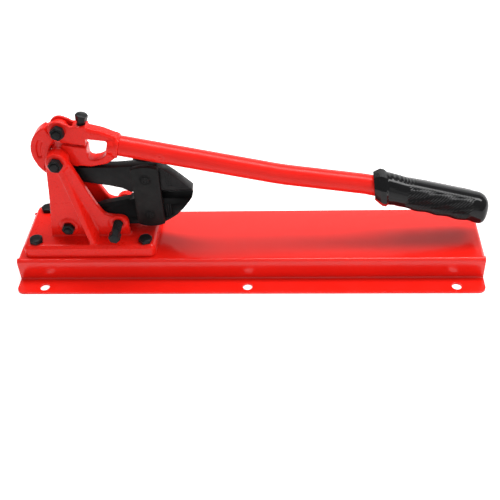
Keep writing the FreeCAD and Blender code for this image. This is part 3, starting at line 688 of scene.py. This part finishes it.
def fasteners():
    """Three cross bolts, and four frame bolts with their washers and nuts under the base."""
    cross_bolt("lever_bolt", LEVER, CHEEK + 1.8, M10, M10_FLATS, M10_HEAD, M10_NUT, 2.5,
               M10_PITCH, "bench", "lever_pivot_bolt", "lever_pivot_nut", 8)
    cross_bolt("anchor_bolt_set", ANCHOR, CHEEK + 1.5, M8, M8_FLATS, M8_HEAD, M8_NUT, 2.5,
               M8_PITCH, "bench", "anchor_bolt", "anchor_nut", 20)
    cross_bolt("link_bolt_set", LINK, HEAD_HALF, M10, M10_FLATS, M10_HEAD, M10_NUT, 2.0,
               M10_PITCH, "handle", "link_bolt", "link_nut", -6)
    under_top = 28.5
    washer = [ring(10, 0.2), ring(9.8, 0), ring(5.25, 0), ring(5.25, 2), ring(9.8, 2),
              ring(10, 1.8)]
    places = [(x, y) for x in (-274, -131) for y in (-33.4, 33.4)]
    heads, washers, nuts = [], [], []
    for number, (x, y) in enumerate(places):
        heads += [placed(hex_head(M10_FLATS, M10_HEAD, 0.6), (x, y, PLATE_TOP), (0, 0, 1),
                         13 + 17 * number),
                  placed(rod(M10, -20, 0.5, 0.2), (x, y, PLATE_TOP), (0, 0, 1)),
                  placed(thread(M10, 19, 32.0, M10_PITCH), (x, y, PLATE_TOP), (0, 0, -1))]
        washers.append(placed(loft(washer, closed=True), (x, y, under_top), (0, 0, 1)))
        nuts.append(placed(hex_nut(M10_FLATS, M10_NUT, M10), (x, y, under_top), (0, 0, -1),
                           9 + 23 * number))
    show(make("plate_bolts", heads), OXIDE, "bench", "black_hardware", "frame_bolts")
    show(make("plate_washers", washers), ZINC, "bench", "zinc_washer", "frame_washers")
    show(make("plate_nuts", nuts), OXIDE, "bench", "black_hardware", "frame_nuts")


def small_parts():
    """Clamp screw, adjusting screw, spacers and tail pin."""
    clamp = Vector((CLAMP[0], 0, CLAMP[1]))
    shells = [placed(thread(5.9, 9.0, 44.0, 1.75), clamp, FRONT),
              placed(rod(4.6, 7.3, 9.5, 0.6), clamp, FRONT),
              placed(hex_head(13, 12, 0.5), clamp + FRONT * 43.2, FRONT, 15)]
    show(make("near_clamp", shells), OXIDE, "front_clamp_screw", "black_hardware",
         "front_clamp_screw")
    under_head = [ring(4.9, 0.6), ring(5.0, 2.4), ring(5.6, 4.3), ring(5.6, 5.2)]
    points, faces = hex_head(14, 8.7, 1.1)
    tapered = [(x * (0.84 + 0.018 * z), y * (0.84 + 0.018 * z), z) for x, y, z in points], faces
    shells = [placed(tapered, SCREW_SEAT + ACROSS * 4.2, ACROSS, 10),
              placed(loft(under_head), SCREW_SEAT, ACROSS),
              placed(thread(M10, -4.9, 26.2, M10_PITCH), SCREW_SEAT, -ACROSS)]
    show(make("set_screw", shells), OXIDE, "adjusting_screw", "black_hardware", "adjusting_screw")
    spacer = [ring(8.5, 7.1), ring(4.1, 7.1), ring(4.1, 14.3), ring(8.5, 14.3)]
    spacers = [placed(loft(spacer, closed=True), (ANCHOR[0], 0, ANCHOR[1]), face)
               for face in (FRONT, REAR)]
    show(make("spacer_tubes", spacers), OXIDE, "bench", "black_hardware", "anchor_spacers")
    pin = placed(rod(5.0, -8.0, 8.0, 0.6), (TAIL[0], 0, TAIL[1]), REAR)
    show(make("link_tail_pin", [pin]), STRAP, "toggle_link", "plate_steel", "tail_pin")


# ---------------------------------------------------------------- lever tube and grip

BEND_1 = Vector((45, 0, COLLAR_END.z - (45 - COLLAR_END.x) * math.tan(SLOPE)))
BEND_2 = Vector((150, 0, 112.6))
GRIP_SLOPE = math.radians(14.6)
GRIP_ALONG = Vector((math.cos(GRIP_SLOPE), 0, -math.sin(GRIP_SLOPE)))
GRIP_UP = Vector((math.sin(GRIP_SLOPE), 0, math.cos(GRIP_SLOPE)))
GRIP_START = BEND_2 + GRIP_ALONG * 10.6
RIVET = COLLAR_END + ALONG * 52


def tube_line():
    """Points and directions down the bent tube, a few millimetres apart."""
    end = GRIP_START + GRIP_ALONG * 135
    stations, last = [], COLLAR_END + ALONG * 0.4
    for corner, after, radius in ((BEND_1, BEND_2, 400.0), (BEND_2, end, 60.0)):
        back, ahead = (last - corner).normalized(), (after - corner).normalized()
        half = back.angle(ahead) / 2
        setback = radius / math.tan(half)
        inward = (back + ahead).normalized()
        centre = corner + inward * (radius / math.sin(half))
        first, final = corner + back * setback, corner + ahead * setback
        steps = max(2, int((first - last).length / 2.5))
        stations += [(last.lerp(first, i / steps), -back) for i in range(steps)]
        sweep = math.pi - 2 * half
        turn = 1 if (first - centre).cross(final - centre).y > 0 else -1
        steps = max(4, int(radius * sweep / 2.5))
        for i in range(steps):
            spin = Matrix.Rotation(turn * sweep * i / steps, 3, "Y")
            stations.append((centre + spin @ (first - centre), spin @ -back))
        last = final
    steps = max(2, int((end - last).length / 3))
    stations += [(last.lerp(end, i / steps), GRIP_ALONG) for i in range(steps + 1)]
    return stations


def lever_tube():
    """Drawn tube with slightly flattened sides, and a dished crimp round the rivet."""
    outer, inner = [], []
    count = 56
    for point, heading in tube_line():
        up = Vector((-heading.z, 0, heading.x))
        ring_out, ring_in = [], []
        for i in range(count):
            a = 2 * math.pi * i / count
            c, s = math.cos(a), math.sin(a)
            flat = 1 - 0.045 * max(0.0, abs(c) - 0.55) / 0.45
            direction = Vector((0, c, 0)) + up * s
            spot = point + direction * (TUBE_OUTER * flat)
            away = math.hypot((spot - RIVET).dot(ALONG), (spot - RIVET).dot(ACROSS))
            dent = 1.5 * math.exp(-(away / 3.6) ** 2) - 0.5 * math.exp(-((away - 6.2) / 1.6) ** 2)
            ring_out.append(spot - direction * (dent if abs(c) > 0.5 else 0.0))
            ring_in.append(point + direction * TUBE_BORE)
        outer.append(ring_out)
        inner.append(ring_in)
    obj = make("lever_tube", [loft(outer + inner[::-1], closed=True)], sharp=50)
    show(obj, TUBE, "handle", "red_paint", "handle_tube")
    dome = [ring(3.1, 0, 24), ring(3.1, 10.4, 24), ring(2.7, 11.2, 24), ring(1.6, 11.7, 24),
            ring(0.3, 11.85, 24)]
    heads = [placed(loft(dome), RIVET, face) for face in (FRONT, REAR)]
    show(make("tube_rivet", heads), TUBE, "handle", "red_paint", "handle_rivet")


def grip():
    """Moulded grip: slanted guard, ribbed thumb rest, finger waves and diagonal knurling."""
    stations = [0.0, 0.6] + [0.6 + 8.4 * i / 6 for i in range(1, 7)]
    stations += [9.8, 11.4, 13.0, 14.2, 15.0]
    stations += [15.0 + 0.7 * i for i in range(1, int((GRIP_LENGTH - 15.6) / 0.7))]
    stations += [GRIP_LENGTH - 0.35 + 0.25 * i / 3 for i in range(4)]
    rings = [grip_ring(0.0, lambda a: TUBE_OUTER + 0.05)]
    rings += [grip_ring(u, lambda a, u=u: grip_radius(u, a)) for u in stations]
    obj = make("grip_moulding", [loft(rings)], sharp=40)
    show(obj, VINYL, "handle", "grip_vinyl", "hand_grip")


def grip_ring(u, radius, count=144):
    """Points round the grip at a distance u down it; the guard's end slants forward at the top."""
    points = []
    for i in range(count):
        a = 2 * math.pi * i / count
        up = radius(a) * math.cos(a)
        slant = (-0.3 - 0.36 * up) * (1 - ease(u, 13, 34))
        points.append(GRIP_START + GRIP_ALONG * (u + slant) + GRIP_UP * (up - 0.5)
                      + Vector((0, -radius(a) * math.sin(a), 0)))
    return points


def ease(value, low, high):
    """Smooth step from 0 at low to 1 at high."""
    t = min(max((value - low) / (high - low), 0.0), 1.0)
    return t * t * (3 - 2 * t)


def grip_radius(u, a):
    """Distance of the grip's skin from its axis; a is the angle from the top towards the front."""
    off = (a + math.pi / 8) % (math.pi / 4) - math.pi / 8
    facet = 0.975 * math.cos(math.pi / 8) / math.cos(off) + 0.025
    if u <= 9.5:
        return (17.4 + 5.9 * u / 9.5) * facet
    below, above, wide = max(0.0, -math.cos(a)), max(0.0, math.cos(a)), abs(math.sin(a))
    barrel = 18.4 + 0.7 * ease(u, 30, 70) + 0.9 * (wide * abs(math.cos(a))) ** 1.5
    barrel += 2.4 * above * (1 - ease(u, 16, 46))
    wave = 0.5 + 0.5 * math.cos(2 * math.pi * (u - 58.5) / 27.0)
    barrel += below ** 0.8 * ((1.5 * wave - 0.1) * ease(u, 24, 44) + 1.2 * ease(32 - u, 0, 14))
    if 16 < u < 52:
        fade = ease(u, 16, 20) * ease(52 - u, 0, 10) * ease(above, 0.93, 0.98)
        barrel += fade * 0.32 * math.sin(2 * math.pi * (u - 17) / 4.4)
    side = ease(wide, 0.35, 0.5) * ease(0.92 - math.cos(a), 0.0, 0.08)
    side *= ease(math.cos(a) + 0.93, 0.0, 0.2)
    if side > 0 and 36 < u < 128:
        fade = ease(u, 38, 43) * ease(126 - u, 0, 4) * side
        around = 19.0 * min(a, 2 * math.pi - a)
        barrel += fade * 0.5 * math.sin(2 * math.pi * (u * 0.78 + around * 0.62) / 2.8)
    barrel += (GUARD * facet - barrel) * (1 - ease(u, 14.0, 18.4))
    tip = 7.5 + 12.0 * ease(math.cos(a), -0.6, 0.8)
    if u > GRIP_LENGTH - tip:
        barrel *= math.sqrt(max(1 - ((u - (GRIP_LENGTH - tip)) / tip) ** 2.4, 0.0))
    return max(barrel, 0.4)


# ---------------------------------------------------------------- stage

def stage():
    """Plain floor and backdrop, soft overhead light, and the camera."""
    floor_paint = new_material("floor", (0.9, 0.9, 0.9), 0.9)
    link(floor_paint, tint(floor_paint, noise(floor_paint, 2), (0.9, 0.9, 0.9), (0.93, 0.93, 0.93)),
         socket(floor_paint, "Base Color"))
    socket(floor_paint, "Emission Color").default_value = (1, 1, 1, 1)
    socket(floor_paint, "Emission Strength").default_value = 0.35
    far = 9000
    square = [(-far, -far, 0), (far, -far, 0), (far, far, 0), (-far, far, 0)]
    floor = make("floor", [(square, [(0, 1, 2, 3)])])
    floor.data.materials.append(floor_paint)
    wall_paint = new_material("backdrop", (0.9, 0.9, 0.9), 0.9)
    socket(wall_paint, "Emission Color").default_value = (1, 1, 1, 1)
    socket(wall_paint, "Emission Strength").default_value = 0.75
    outline = [(-780, 5), (4200, 5), (4200, 1500), (900, 1915), (560, 1965), (230, 1995),
               (-140, 2000), (-420, 1998), (-520, 1955), (-600, 1870), (-700, 1700)]
    corners = [(x, 2200, z) for x, z in outline]
    wall = make("backdrop", [(corners, [tuple(range(len(corners)))])])
    wall.data.materials.append(wall_paint)
    world = bpy.data.worlds.new("studio")
    world.use_nodes = True
    background = world.node_tree.nodes["Background"]
    background.inputs["Color"].default_value = (1, 1, 1, 1)
    background.inputs["Strength"].default_value = 0.4
    bpy.context.scene.world = world
    area_light("overhead", (0.45, 0.26, 1.4), (0.4, 0, 0), (2.5, 0.4), 33)
    area_light("front_fill", (0.5, -2.2, 0.9), (0, 0, 0.1), (1.6, 1.6), 4.5)
    camera()


def area_light(name, spot, target, size, power):
    """Rectangular lamp at a spot, aimed at a target; lengths in metres, power in watts."""
    data = bpy.data.lights.new(name, "AREA")
    data.shape = "RECTANGLE"
    data.size, data.size_y = size
    data.energy = power
    lamp = bpy.data.objects.new(name, data)
    lamp.location = spot
    lamp.rotation_euler = (Vector(target) - Vector(spot)).to_track_quat("-Z", "Y").to_euler()
    bpy.context.scene.collection.objects.link(lamp)


def camera():
    """Camera above and in front of the part, a little to its right."""
    yaw, pitch, roll = (math.radians(v) for v in (4.771, 40.477, -3.401))
    forward = Vector((-math.sin(yaw) * math.cos(pitch), math.cos(yaw) * math.cos(pitch),
                      -math.sin(pitch)))
    level = Vector((math.cos(yaw), math.sin(yaw), 0))
    up = level.cross(forward)
    right = level * math.cos(roll) + up * math.sin(roll)
    top = up * math.cos(roll) - level * math.sin(roll)
    data = bpy.data.cameras.new("camera")
    data.sensor_width = 36
    data.lens = 59.26
    data.clip_start = 0.05
    data.clip_end = 50
    cam = bpy.data.objects.new("camera", data)
    turn = Matrix((right, top, -forward)).transposed().to_4x4()
    cam.matrix_world = Matrix.Translation(Vector((0.0700, -0.8384, 0.7230))) @ turn
    bpy.context.scene.collection.objects.link(cam)
    bpy.context.scene.camera = cam
    bpy.context.scene.view_settings.view_transform = "Standard"


base_sheet()
frame_cast()
head_cast()
link_cast()
jaws()
straps()
fasteners()
small_parts()
lever_tube()
grip()
stage()
